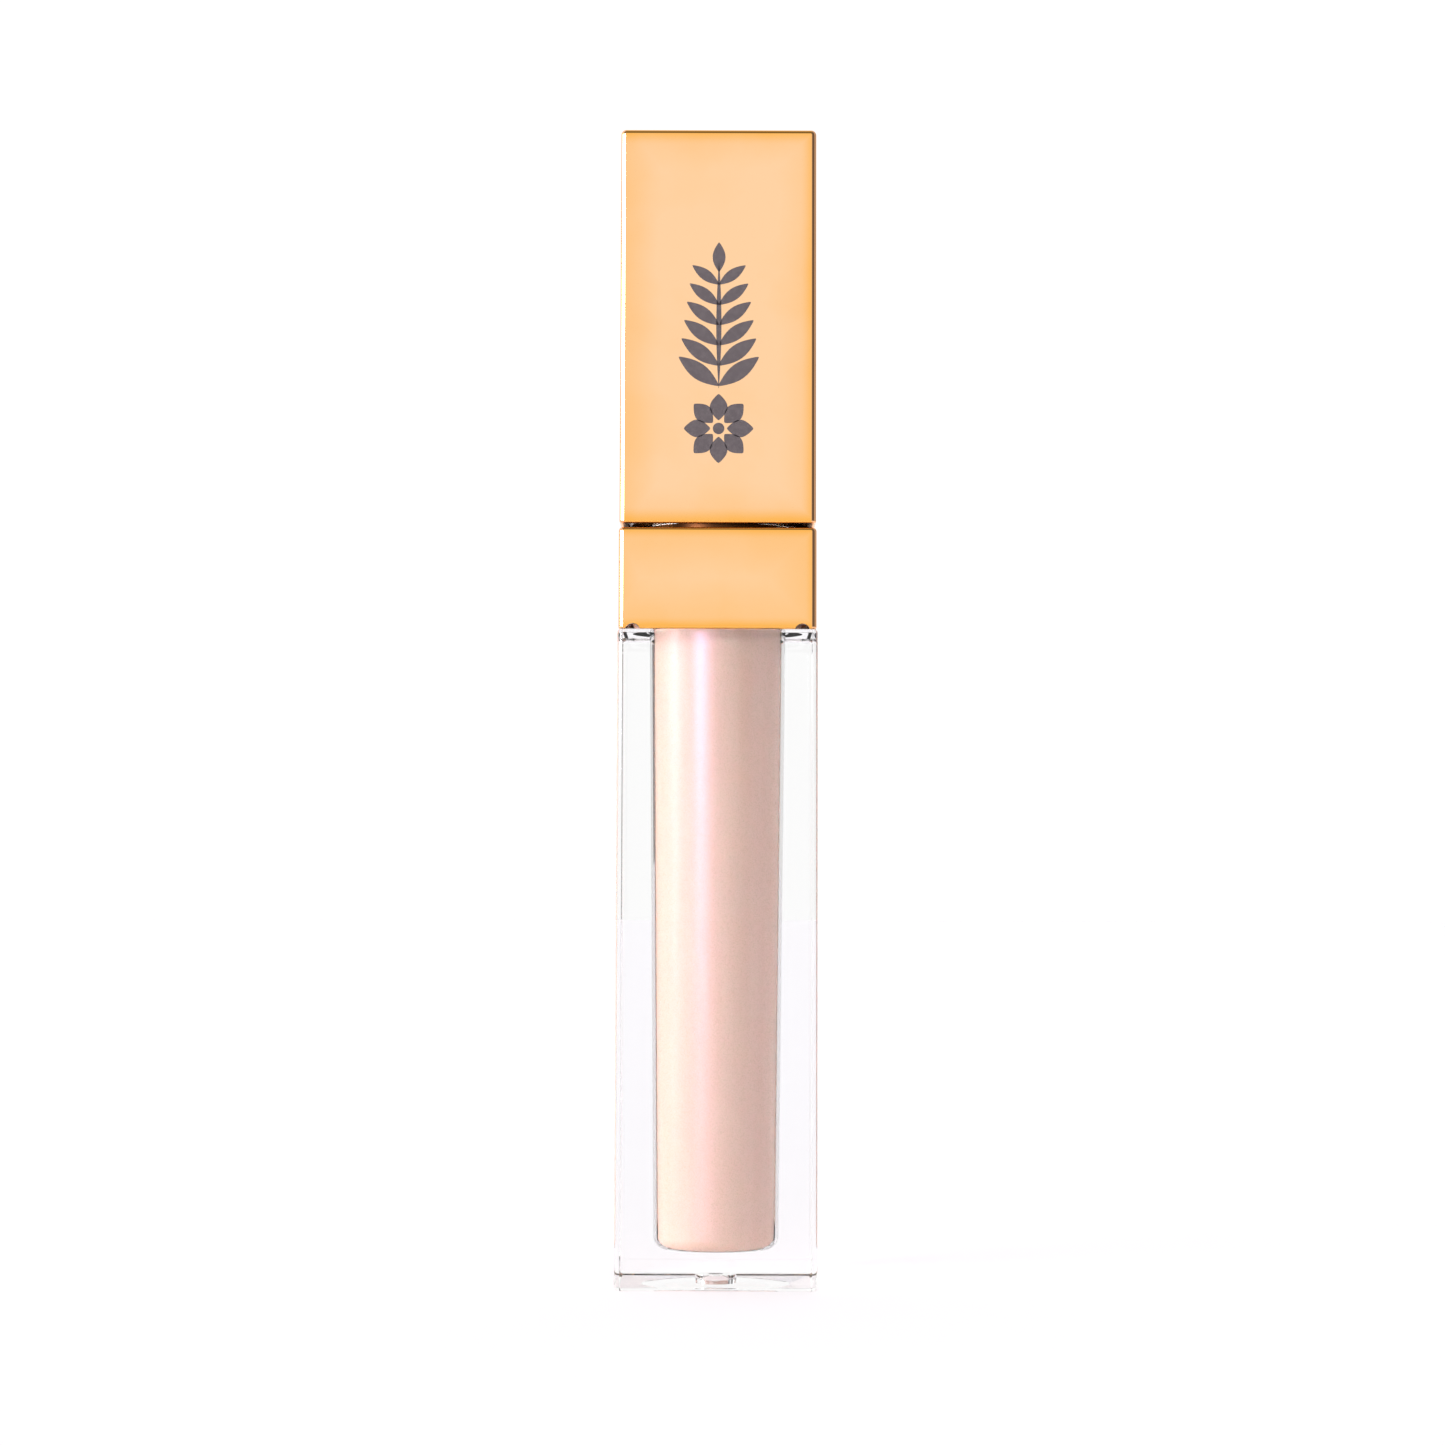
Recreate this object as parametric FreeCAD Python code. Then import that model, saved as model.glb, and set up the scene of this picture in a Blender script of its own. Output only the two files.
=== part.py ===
"""Lip gloss tube: thick clear square bottle, metallised collar, and a screw cap that carries the wand.

Millimetres, +Z up. The origin is the centre of the base, on the surface that the tube stands on.
Every piece is drawn where it lies with the tube closed. Radii are worked out from the outside in,
from the width of the bottle through the walls and clearances to the bore that holds the gloss.
"""

import FreeCAD
import Part

import math
import os

# ---------------------------------------------------------------- driving dimensions
# Bottle
BODY_WIDTH = 19.0            # square section, across the flats
BODY_HEIGHT = 62.1           # base to shoulder
BODY_CORNER_RADIUS = 0.5     # vertical edges
BODY_RIM_RADIUS = 0.4        # edges round the base and the shoulder
BASE_THICKNESS = 3.3         # under the chamber
CHAMBER_FLOOR_RADIUS = 1.2   # where the chamber's wall meets its floor
CHAMBER_DRAFT = 0.58         # degrees on each side, so that the core pin draws out through the neck
DISH_RADIUS = 7.1            # rim of the shallow hollow in the base
DISH_DEPTH = 0.45
GATE_RECESS_RADIUS = 2.0     # pocket in the dish that hides the moulding gate
GATE_RECESS_DEPTH = 0.45
GATE_STUB_RADIUS = 0.7
GATE_STUB_HEIGHT = 0.25

# Neck and its screw thread
NECK_ABOVE_COLLAR = 7.3      # from the collar's top to the rim of the neck
NECK_WALL = 0.7              # behind the thread
THREAD_LEAD = 3.0            # rise in one turn
THREAD_HEIGHT = 0.55
THREAD_ROOT_WIDTH = 1.3
THREAD_CREST_WIDTH = 0.6
THREAD_GAP = 0.10            # radial, crest to wall
THREAD_FLANK_GAP = 0.15      # axial, between the two ridges
THREAD_BITE = 0.2            # how far a ridge runs into the wall that carries it
THREAD_START = 1.6           # from the collar's top up to the middle of the ridge's low end
THREAD_LOW_END = 60          # degrees round from +X
THREAD_END = 1.95            # from the rim down to the middle of the ridge's high end

# Seat under the collar
SEAT_GAP = 0.3               # between the round seat and the collar's flat walls
SEAT_TOP_GAP = 0.1           # under the collar's top plate
BEAD_HEIGHT = 0.6            # centring bead that the collar is pushed over
BEAD_FIT = 0.02              # bead to collar
BEAD_RISE = 1.6              # from the shoulder to the lower bead, and from the seat's top to the upper one
LUG_WIDTH = 1.4              # corner lugs that stop the collar turning
LUG_RISE = 3.0               # from the shoulder to the lugs
LUG_HEIGHT = 2.6
LUG_GAP = 0.1

# Collar
COLLAR_STEP = 0.1            # narrower than the bottle, on each side
COLLAR_HEIGHT = 9.7
COLLAR_WALL = 0.9
COLLAR_PLATE = 1.0
COLLAR_CORNER_RADIUS = 0.5
COLLAR_TOP_RADIUS = 0.38
COLLAR_FOOT_RADIUS = 0.2
COLLAR_HOLE_GAP = 0.1        # round the thread, so that the collar can be dropped over it
COLLAR_RING_WALL = 0.45      # low ring on the plate that closes the shadow line from inside
COLLAR_RING_LAP = 0.15       # how far the ring reaches up into the cap
COLLAR_NOTCH_WIDTH = 1.4     # arched notches in the foot, two to a side
COLLAR_NOTCH_HEIGHT = 0.5
COLLAR_NOTCH_INSET = 1.35    # from the collar's side to the middle of a notch

# Outer cap
CAP_STEP = 0.05              # narrower than the collar, on each side
CAP_GAP = 0.4                # shadow line between the collar and the cap
CAP_HEIGHT = 37.9
CAP_WALL = 0.8
CAP_TOP = 1.2
CAP_EDGE_RADIUS = 0.5        # vertical edges
CAP_RIM_RADIUS = 0.48        # edges round the top
CAP_FOOT_RADIUS = 0.2
STOP_RIB_WIDTH = 1.0         # ribs down from the cap's top that the inner cap is pushed home against
STOP_RIB_DEPTH = 1.6
STOP_RIB_GAP = 0.02          # over the inner cap
INSIDE_CORNER_RADIUS = 0.3   # inside corners of the cap and the collar

# Inner cap
INNER_CAP_FIT = 0.05         # round the skirt, inside the outer cap
INNER_CAP_WALL = 0.65        # behind the thread
INNER_CAP_RECESS = 0.3       # skirt stands back from the outer cap's mouth
INNER_CAP_CEILING = 1.0
RIB_WIDTH = 1.0              # corner ribs that turn the inner cap with the outer one
RIB_FIT = 0.1
BOSS_WALL = 1.3              # round the wand's shank
BOSS_TOP = 1.0

# Wiper
WIPER_FLANGE = 0.8
WIPER_FLANGE_STEP = 0.1      # flange stands in from the neck's outside
WIPER_FIT = 0.06             # sleeve to bore
WIPER_BEAD_FIT = 0.01        # sealing beads to bore
WIPER_BEAD_WIDTH = 0.6
WIPER_BEAD_PITCH = 1.6
WIPER_SLEEVE = 7.0           # length of the straight sleeve under the flange
WIPER_WALL = 0.75
WIPER_FUNNEL = 5.0           # height of the cone down to the lip
WIPER_LIP_WALL = 0.35
WIPER_LIP_HEIGHT = 0.9
WIPER_GAP = 0.12             # lip to the widest turn of the tip

# Seal washer
WASHER_THICKNESS = 0.8
WASHER_SEAT_GAP = 0.02       # above and below
WASHER_HOLE_GAP = 0.3        # round the stem's flange

# Wand
STEM_RADIUS = 1.75
STEM_FLANGE_RADIUS = 3.2
STEM_FLANGE = 0.9
STEM_CONE = 1.8              # length over which the flange's root tapers to the stem
SHANK_RADIUS = 2.3
SHANK_LENGTH = 6.0
SHANK_FIT = 0.03
SHANK_GROOVE = 0.25          # depth and half-width of the two glue grooves
TIP_LENGTH = 14.0            # flocked length
TIP_FLOOR_GAP = 1.8          # under the tip, in the chamber
TIP_HALF_WIDTH = 2.1         # of the flocked paddle, at its widest
TIP_HALF_DEPTH = 1.5
TIP_LEAN = 0.5               # how far the paddle's end stands to the front
TIP_SWELL = 0.35             # share of the tip's length over which it widens to the paddle
TIP_CLOSE = 0.55             # share of the tip's length at which the rounded end begins
TIP_END_FULLNESS = 0.8       # under 1, the end stays thick for longer than it stays wide
TIP_PIN_RADIUS = 1.0
TIP_PIN_LENGTH = 5.0
TIP_PIN_FIT = 0.02
FLOCK = 0.35                 # thickness of the fibre coat

# Gloss
HEADSPACE = 1.1              # air between the gloss and the wiper's lip
GLOSS_WALL_GAP = 0.02        # to the chamber
WAND_WAY_GAP = 0.25          # clear way left for the tip to turn and rise in

# ---------------------------------------------------------------- derived sizes
# Radii, from the outside in
collar_width = BODY_WIDTH - 2 * COLLAR_STEP
cap_width = collar_width - 2 * CAP_STEP
cap_inside = cap_width / 2 - CAP_WALL
collar_inside = collar_width / 2 - COLLAR_WALL
inner_cap_radius = cap_inside - INNER_CAP_FIT
inner_thread_root = inner_cap_radius - INNER_CAP_WALL
inner_thread_crest = inner_thread_root - THREAD_HEIGHT
neck_thread_crest = inner_thread_root - THREAD_GAP
neck_radius = neck_thread_crest - THREAD_HEIGHT
neck_bore = neck_radius - NECK_WALL
seat_radius = collar_inside - SEAT_GAP

# Heights, from the base up
shoulder = BODY_HEIGHT
collar_top = shoulder + COLLAR_HEIGHT
seat_top = collar_top - COLLAR_PLATE - SEAT_TOP_GAP
neck_rim = collar_top + NECK_ABOVE_COLLAR
wiper_top = neck_rim + WIPER_FLANGE
washer_foot = wiper_top + WASHER_SEAT_GAP
ceiling = washer_foot + WASHER_THICKNESS + WASHER_SEAT_GAP
cap_foot = collar_top + CAP_GAP
cap_top = cap_foot + CAP_HEIGHT
cap_ceiling = cap_top - CAP_TOP
skirt_foot = cap_foot + INNER_CAP_RECESS
skirt_top = ceiling + INNER_CAP_CEILING
boss_top = skirt_top + SHANK_LENGTH
thread_foot = collar_top + THREAD_START
thread_rise = neck_rim - THREAD_END - thread_foot
tip_end = BASE_THICKNESS + TIP_FLOOR_GAP
stem_foot = tip_end + TIP_LENGTH
wiper_sleeve_foot = neck_rim - WIPER_SLEEVE
wiper_lip_top = wiper_sleeve_foot - WIPER_FUNNEL
wiper_lip_foot = wiper_lip_top - WIPER_LIP_HEIGHT
gloss_top = wiper_lip_foot - HEADSPACE

Z = FreeCAD.Vector(0, 0, 1)
ORIGIN = FreeCAD.Vector(0, 0, 0)
OVERSHOOT = 1.0              # how far a cutting tool runs past the face that it opens
ROUNDING = 1e-4              # lengths that differ by less count as equal


# ---------------------------------------------------------------- shapes that several pieces use
def bore_radius(height):
    """Radius of the bore at a height above the base: tapered in the chamber, straight in the neck."""
    depth = max(0.0, shoulder - height)
    return neck_bore - depth * math.tan(math.radians(CHAMBER_DRAFT))


def square_prism(width, corner_radius, foot, height):
    """Upright square prism with rounded vertical edges, centred on the axis."""
    box = Part.makeBox(width, width, height, FreeCAD.Vector(-width / 2, -width / 2, foot))
    upright = [e for e in box.Edges if e.BoundBox.ZLength > height / 2]
    return box.makeFillet(corner_radius, upright)


def edges_at(shape, height):
    """Level edges of a shape at one height."""
    boxed = [(edge, edge.BoundBox) for edge in shape.Edges]
    return [e for e, b in boxed if b.ZLength < ROUNDING and abs(b.ZMin - height) < ROUNDING]


def turned(profile):
    """Solid turned about the axis from a closed outline of (radius, height) points."""
    points = [FreeCAD.Vector(r, 0, z) for r, z in profile]
    outline = Part.makePolygon(points + points[:1])
    return Part.Face(outline).revolve(ORIGIN, Z, 360)


def cylinder(radius, foot, top):
    """Upright cylinder on the axis."""
    return Part.makeCylinder(radius, top - foot, FreeCAD.Vector(0, 0, foot), Z)


def corner_bars(width, inner, outer, foot, height):
    """Four bars that point at the corners of the square, from one radius to another."""
    bars = []
    for quarter in range(4):
        bar = Part.makeBox(outer - inner, width, height, FreeCAD.Vector(inner, -width / 2, foot))
        bar.rotate(ORIGIN, Z, 45 + 90 * quarter)
        bars.append(bar)
    return bars


def thread_ridge(wall_radius, outward, foot, turn):
    """Helical ridge on a round wall; foot and turn are the height and bearing of its low end's middle."""
    side = 1 if outward else -1
    sunk = wall_radius - side * THREAD_BITE
    crest = wall_radius + side * THREAD_HEIGHT
    half_crest = THREAD_CREST_WIDTH / 2
    flare = (THREAD_ROOT_WIDTH - THREAD_CREST_WIDTH) / 2 / THREAD_HEIGHT
    half_sunk = half_crest + flare * (THREAD_HEIGHT + THREAD_BITE)
    section = [
        (sunk, foot - half_sunk),
        (crest, foot - half_crest),
        (crest, foot + half_crest),
        (sunk, foot + half_sunk),
    ]
    points = [FreeCAD.Vector(r, 0, z) for r, z in section]
    outline = Part.makePolygon(points + points[:1])
    helix = Part.makeHelix(THREAD_LEAD, thread_rise, wall_radius)
    helix.translate(FreeCAD.Vector(0, 0, foot))
    ridge = Part.Wire(helix).makePipeShell([outline], True, True)
    ridge.rotate(ORIGIN, Z, turn)
    return ridge


# ---------------------------------------------------------------- bottle and what stays in it
def chamber():
    """The bore from the chamber's floor out through the neck, as a solid to cut away."""
    top = neck_rim + OVERSHOOT
    bore = turned([
        (0, BASE_THICKNESS),
        (bore_radius(BASE_THICKNESS), BASE_THICKNESS),
        (neck_bore, shoulder),
        (neck_bore, top),
        (0, top),
    ])
    return bore.makeFillet(CHAMBER_FLOOR_RADIUS, edges_at(bore, BASE_THICKNESS))


def base_hollow():
    """The shallow dish in the base with the round pocket for the gate, as a solid to cut away."""
    ball_radius = (DISH_RADIUS ** 2 + DISH_DEPTH ** 2) / (2 * DISH_DEPTH)
    ball = Part.makeSphere(ball_radius, FreeCAD.Vector(0, 0, DISH_DEPTH - ball_radius))
    dish = ball.common(cylinder(DISH_RADIUS + OVERSHOOT, -OVERSHOOT, DISH_DEPTH + OVERSHOOT))
    pocket_top = DISH_DEPTH + GATE_RECESS_DEPTH
    pocket = cylinder(GATE_RECESS_RADIUS, 0, pocket_top)
    stub = cylinder(GATE_STUB_RADIUS, pocket_top - GATE_STUB_HEIGHT, pocket_top)
    return dish.fuse(pocket.cut(stub))


def collar_seat():
    """The round seat above the shoulder, with its centring beads and corner lugs."""
    seat = cylinder(seat_radius, shoulder - OVERSHOOT, seat_top)
    bead_radius = collar_inside - BEAD_FIT
    half = BEAD_HEIGHT / 2
    for middle in (shoulder + BEAD_RISE, seat_top - BEAD_RISE):
        bead = turned([
            (seat_radius - THREAD_BITE, middle - BEAD_HEIGHT),
            (seat_radius, middle - BEAD_HEIGHT),
            (bead_radius, middle - half / 2),
            (bead_radius, middle + half / 2),
            (seat_radius, middle + BEAD_HEIGHT),
            (seat_radius - THREAD_BITE, middle + BEAD_HEIGHT),
        ])
        seat = seat.fuse(bead)
    reach = collar_inside * math.sqrt(2) - LUG_WIDTH / 2 - LUG_GAP
    inner = seat_radius - THREAD_BITE
    lugs = corner_bars(LUG_WIDTH, inner, reach, shoulder + LUG_RISE, LUG_HEIGHT)
    return seat.fuse(lugs)


def make_bottle():
    """Thick clear block with the round chamber, the collar's seat and the threaded neck."""
    block = square_prism(BODY_WIDTH, BODY_CORNER_RADIUS, 0, BODY_HEIGHT)
    block = block.makeFillet(BODY_RIM_RADIUS, edges_at(block, 0) + edges_at(block, shoulder))
    neck = cylinder(neck_radius, shoulder, neck_rim)
    ridge = thread_ridge(neck_radius, True, thread_foot, THREAD_LOW_END)
    solid = block.fuse([collar_seat(), neck]).removeSplitter()
    return solid.fuse(ridge).cut(chamber()).cut(base_hollow())


def make_gloss_fill():
    """The gloss in the chamber, with the way that the wand leaves in it."""
    foot = BASE_THICKNESS + GLOSS_WALL_GAP
    fill = turned([
        (0, foot),
        (bore_radius(foot) - GLOSS_WALL_GAP, foot),
        (neck_bore - GLOSS_WALL_GAP, shoulder),
        (neck_bore - GLOSS_WALL_GAP, gloss_top),
        (0, gloss_top),
    ])
    fill = fill.makeFillet(CHAMBER_FLOOR_RADIUS, edges_at(fill, foot))
    way_foot = tip_end - TIP_FLOOR_GAP / 2
    return fill.cut(cylinder(tip_sweep() + WAND_WAY_GAP, way_foot, gloss_top + OVERSHOOT))


def make_wiper_insert():
    """Flanged sleeve in the neck that narrows to a thin lip round the stem."""
    outside = neck_bore - WIPER_FIT
    inside = outside - WIPER_WALL
    orifice = tip_sweep() + WIPER_GAP
    lip_outside = orifice + WIPER_LIP_WALL
    flange_radius = neck_radius - WIPER_FLANGE_STEP
    body = turned([
        (orifice, wiper_lip_foot),
        (lip_outside, wiper_lip_foot),
        (lip_outside, wiper_lip_top),
        (outside, wiper_sleeve_foot),
        (outside, neck_rim),
        (flange_radius, neck_rim),
        (flange_radius, wiper_top),
        (inside, wiper_top),
        (inside, wiper_sleeve_foot + WIPER_WALL / 2),
        (orifice, wiper_lip_top + WIPER_WALL),
    ])
    for step in (1, 2, 3):
        middle = neck_rim - step * WIPER_BEAD_PITCH
        half = WIPER_BEAD_WIDTH / 2
        bead = turned([
            (inside + WIPER_WALL / 2, middle - half),
            (outside, middle - half),
            (neck_bore - WIPER_BEAD_FIT, middle),
            (outside, middle + half),
            (inside + WIPER_WALL / 2, middle + half),
        ])
        body = body.fuse(bead)
    return body.removeSplitter()


def foot_notches():
    """Rods along both walls' directions that cut the arched notches in the collar's foot."""
    half_chord = COLLAR_NOTCH_WIDTH / 2
    radius = (half_chord ** 2 + COLLAR_NOTCH_HEIGHT ** 2) / (2 * COLLAR_NOTCH_HEIGHT)
    height = shoulder + COLLAR_NOTCH_HEIGHT - radius
    away = collar_width / 2 - COLLAR_NOTCH_INSET
    start = -collar_width / 2 - OVERSHOOT
    rods = []
    for place in (-away, away):
        across = FreeCAD.Vector(place, start, height)
        rods.append(Part.makeCylinder(radius, -2 * start, across, FreeCAD.Vector(0, 1, 0)))
        across = FreeCAD.Vector(start, place, height)
        rods.append(Part.makeCylinder(radius, -2 * start, across, FreeCAD.Vector(1, 0, 0)))
    return rods[0].fuse(rods[1:])


def make_collar():
    """Square metallised sleeve that stands on the shoulder and hides the seat."""
    shell = square_prism(collar_width, COLLAR_CORNER_RADIUS, shoulder, COLLAR_HEIGHT)
    shell = shell.makeFillet(COLLAR_TOP_RADIUS, edges_at(shell, collar_top))
    shell = shell.makeFillet(COLLAR_FOOT_RADIUS, edges_at(shell, shoulder))
    plate_foot = collar_top - COLLAR_PLATE
    room = square_prism(
        2 * collar_inside, INSIDE_CORNER_RADIUS, shoulder - OVERSHOOT,
        plate_foot - shoulder + OVERSHOOT,
    )
    hole_radius = neck_thread_crest + COLLAR_HOLE_GAP
    ring = cylinder(hole_radius + COLLAR_RING_WALL, plate_foot, cap_foot + COLLAR_RING_LAP)
    hole = cylinder(hole_radius, shoulder, collar_top + CAP_HEIGHT)
    return shell.fuse(ring).cut(room).cut(hole).cut(foot_notches())


# ---------------------------------------------------------------- cap
def make_outer_cap():
    """Square metallised cap, closed at the top, with ribs inside that stop the inner cap."""
    shell = square_prism(cap_width, CAP_EDGE_RADIUS, cap_foot, CAP_HEIGHT)
    shell = shell.makeFillet(CAP_RIM_RADIUS, edges_at(shell, cap_top))
    shell = shell.makeFillet(CAP_FOOT_RADIUS, edges_at(shell, cap_foot))
    room = square_prism(
        2 * cap_inside, INSIDE_CORNER_RADIUS, cap_foot - OVERSHOOT,
        cap_ceiling - cap_foot + OVERSHOOT,
    )
    rib_foot = skirt_top + STOP_RIB_GAP
    ribs = []
    for quarter in range(4):
        rib = Part.makeBox(
            STOP_RIB_DEPTH + CAP_WALL / 2, STOP_RIB_WIDTH, cap_ceiling - rib_foot + CAP_TOP / 2,
            FreeCAD.Vector(cap_inside - STOP_RIB_DEPTH, -STOP_RIB_WIDTH / 2, rib_foot),
        )
        rib.rotate(ORIGIN, Z, 90 * quarter)
        ribs.append(rib)
    return shell.cut(room).fuse(ribs).removeSplitter()


def make_inner_cap():
    """Threaded liner of the cap, with the boss that holds the wand's shank."""
    reach = cap_inside * math.sqrt(2) - RIB_WIDTH / 2 - RIB_FIT
    ribs = corner_bars(
        RIB_WIDTH, inner_cap_radius - INNER_CAP_WALL / 2, reach, skirt_foot, skirt_top - skirt_foot,
    )
    boss = cylinder(SHANK_RADIUS + BOSS_WALL, ceiling, boss_top + BOSS_TOP)
    cup = cylinder(inner_cap_radius, skirt_foot, skirt_top).fuse(ribs + [boss])
    cup = cup.cut(cylinder(inner_thread_root, skirt_foot - OVERSHOOT, ceiling))
    cup = cup.cut(cylinder(SHANK_RADIUS + SHANK_FIT, ceiling - OVERSHOOT, boss_top))
    mean_width = (THREAD_ROOT_WIDTH + THREAD_CREST_WIDTH) / 2
    overlap = THREAD_GAP / THREAD_HEIGHT * (THREAD_ROOT_WIDTH - THREAD_CREST_WIDTH) / 2
    below = mean_width - overlap + THREAD_FLANK_GAP
    first = skirt_foot + THREAD_ROOT_WIDTH / 2 + THREAD_FLANK_GAP
    turn = THREAD_LOW_END + (first - (thread_foot - below)) / THREAD_LEAD * 360
    return cup.removeSplitter().fuse(thread_ridge(inner_thread_root, False, first, turn))


def make_seal_washer():
    """Soft ring between the wiper's flange and the inner cap's ceiling."""
    top = washer_foot + WASHER_THICKNESS
    ring = cylinder(neck_radius, washer_foot, top)
    return ring.cut(cylinder(STEM_FLANGE_RADIUS + WASHER_HOLE_GAP, washer_foot, top))


# ---------------------------------------------------------------- wand
def make_wand_stem():
    """Round stem with the shank that plugs into the inner cap and the socket for the tip."""
    shank_foot = ceiling
    shank_top = boss_top - SHANK_GROOVE
    flange_foot = ceiling - STEM_FLANGE
    stem = turned([
        (0, stem_foot),
        (STEM_RADIUS, stem_foot),
        (STEM_RADIUS, flange_foot - STEM_CONE),
        (SHANK_RADIUS, flange_foot),
        (STEM_FLANGE_RADIUS, flange_foot),
        (STEM_FLANGE_RADIUS, shank_foot),
        (SHANK_RADIUS, shank_foot),
        (SHANK_RADIUS, shank_top - SHANK_GROOVE),
        (SHANK_RADIUS - SHANK_GROOVE, shank_top),
        (0, shank_top),
    ])
    for share in (1 / 3, 2 / 3):
        middle = shank_foot + share * (shank_top - shank_foot)
        stem = stem.cut(turned([
            (SHANK_RADIUS - SHANK_GROOVE, middle),
            (SHANK_RADIUS + SHANK_GROOVE, middle - 2 * SHANK_GROOVE),
            (SHANK_RADIUS + SHANK_GROOVE, middle + 2 * SHANK_GROOVE),
        ]))
    socket = cylinder(TIP_PIN_RADIUS + TIP_PIN_FIT, stem_foot, stem_foot + TIP_PIN_LENGTH)
    return stem.cut(socket)


def tip_sections(coat):
    """(height, half width, half depth, forward shift) of the paddle, down from the stem.

    coat is what the fibres add all round. The sections swell from the stem to the paddle and
    close in a quarter of an ellipse at the end, while their middles lean to the front.
    """
    root = STEM_RADIUS - FLOCK + coat
    wide = TIP_HALF_WIDTH - FLOCK + coat
    deep = TIP_HALF_DEPTH - FLOCK + coat
    length = TIP_LENGTH - FLOCK + coat
    swell = TIP_LENGTH * TIP_SWELL
    close = TIP_LENGTH * TIP_CLOSE
    sections = []
    for share in (0.0, 0.25, 0.5, 0.75, 1.0):
        ease = share * share * (3 - 2 * share)
        at = share * swell
        half_width = root + ease * (wide - root)
        half_depth = root + ease * (deep - root)
        sections.append((stem_foot - at, half_width, half_depth, 0.0))
    for degrees in (0, 20, 40, 55, 68, 78, 86):
        angle = math.radians(degrees)
        at = close + math.sin(angle) * (length - close)
        thin = math.cos(angle)
        shift = -TIP_LEAN * math.sin(angle) ** 2
        sections.append((stem_foot - at, wide * thin, deep * thin ** TIP_END_FULLNESS, shift))
    return sections


def paddle(coat):
    """Solid paddle of the tip, lofted through its elliptical sections."""
    wires = []
    for height, half_width, half_depth, shift in tip_sections(coat):
        across = max(half_width, half_depth + ROUNDING)
        ring = Part.Ellipse(ORIGIN, across, half_depth).toShape()
        ring.translate(FreeCAD.Vector(0, shift, height))
        wires.append(Part.Wire(ring))
    return Part.makeLoft(wires, True, False)


def tip_sweep():
    """Largest distance of the flocked tip from the axis, as it turns with the cap."""
    return max(
        math.hypot(half_width, abs(shift) + half_depth * half_depth / half_width)
        for _, half_width, half_depth, shift in tip_sections(FLOCK)
    )


def make_tip_core():
    """Flexible paddle that plugs into the stem."""
    pin = cylinder(TIP_PIN_RADIUS, stem_foot - TIP_PIN_LENGTH, stem_foot + TIP_PIN_LENGTH - TIP_PIN_FIT)
    return paddle(0.0).fuse(pin)


def make_tip_flock():
    """Coat of short fibres round the paddle."""
    coat = paddle(FLOCK)
    core = paddle(0.0)
    return coat.cut(core)


PIECES = {
    "bottle": make_bottle,
    "gloss_fill": make_gloss_fill,
    "wiper_insert": make_wiper_insert,
    "shoulder_collar": make_collar,
    "outer_cap": make_outer_cap,
    "inner_cap": make_inner_cap,
    "seal_washer": make_seal_washer,
    "wand_stem": make_wand_stem,
    "tip_core": make_tip_core,
    "tip_flock": make_tip_flock,
}


def main():
    """Writes each piece to its own STEP file and prints its volume."""
    os.makedirs("parts", exist_ok=True)
    for name, make in PIECES.items():
        shape = make()
        shape.exportStep(f"parts/{name}.step")
        print(f"{name}: {len(shape.Solids)} solid, {shape.Volume:.1f} mm3, valid {shape.isValid()}")


main()
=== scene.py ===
"""Lip gloss tube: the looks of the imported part, built round its frame.

Metres, +Z up, front towards -Y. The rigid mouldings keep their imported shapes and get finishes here.
The gloss, the printed sprig, the flocked fibres and the studio are new.
"""

import logging
import math
import random
from collections.abc import Callable
from dataclasses import dataclass, field
from enum import Enum

import bmesh
import bpy
from mathutils import Matrix, Vector


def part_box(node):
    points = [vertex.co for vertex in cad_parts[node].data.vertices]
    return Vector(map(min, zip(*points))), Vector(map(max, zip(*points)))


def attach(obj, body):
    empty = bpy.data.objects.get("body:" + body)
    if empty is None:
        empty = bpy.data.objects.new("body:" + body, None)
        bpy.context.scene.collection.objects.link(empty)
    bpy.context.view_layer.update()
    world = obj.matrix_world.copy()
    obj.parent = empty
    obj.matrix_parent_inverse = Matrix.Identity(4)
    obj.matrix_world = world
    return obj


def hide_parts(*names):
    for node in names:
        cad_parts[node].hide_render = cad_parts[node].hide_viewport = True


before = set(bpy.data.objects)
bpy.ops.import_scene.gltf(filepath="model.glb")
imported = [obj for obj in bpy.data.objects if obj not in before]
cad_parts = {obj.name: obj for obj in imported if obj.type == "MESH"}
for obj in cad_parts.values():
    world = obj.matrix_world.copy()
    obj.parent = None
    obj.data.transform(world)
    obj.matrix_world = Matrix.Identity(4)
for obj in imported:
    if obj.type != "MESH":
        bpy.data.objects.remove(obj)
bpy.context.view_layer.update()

LOG = logging.getLogger("lip_gloss_tube")
MM = 0.001

Colour = tuple[float, float, float, float]
Socket = bpy.types.NodeSocket


def grey(level: float) -> Colour:
    """A neutral colour of one level."""
    return (level, level, level, 1.0)


class Body(Enum):
    """The bodies of the part that the new pieces ride on."""

    BOTTLE = "bottle"
    CAP = "cap"


class Effect(Enum):
    """The surface effects that several finishes share, by the name of their node group."""

    HANDLING = "Handling marks"
    GRAIN = "Moulded grain"
    RESIDUE = "Gloss residue"
    BORDER = "Face border"


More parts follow.
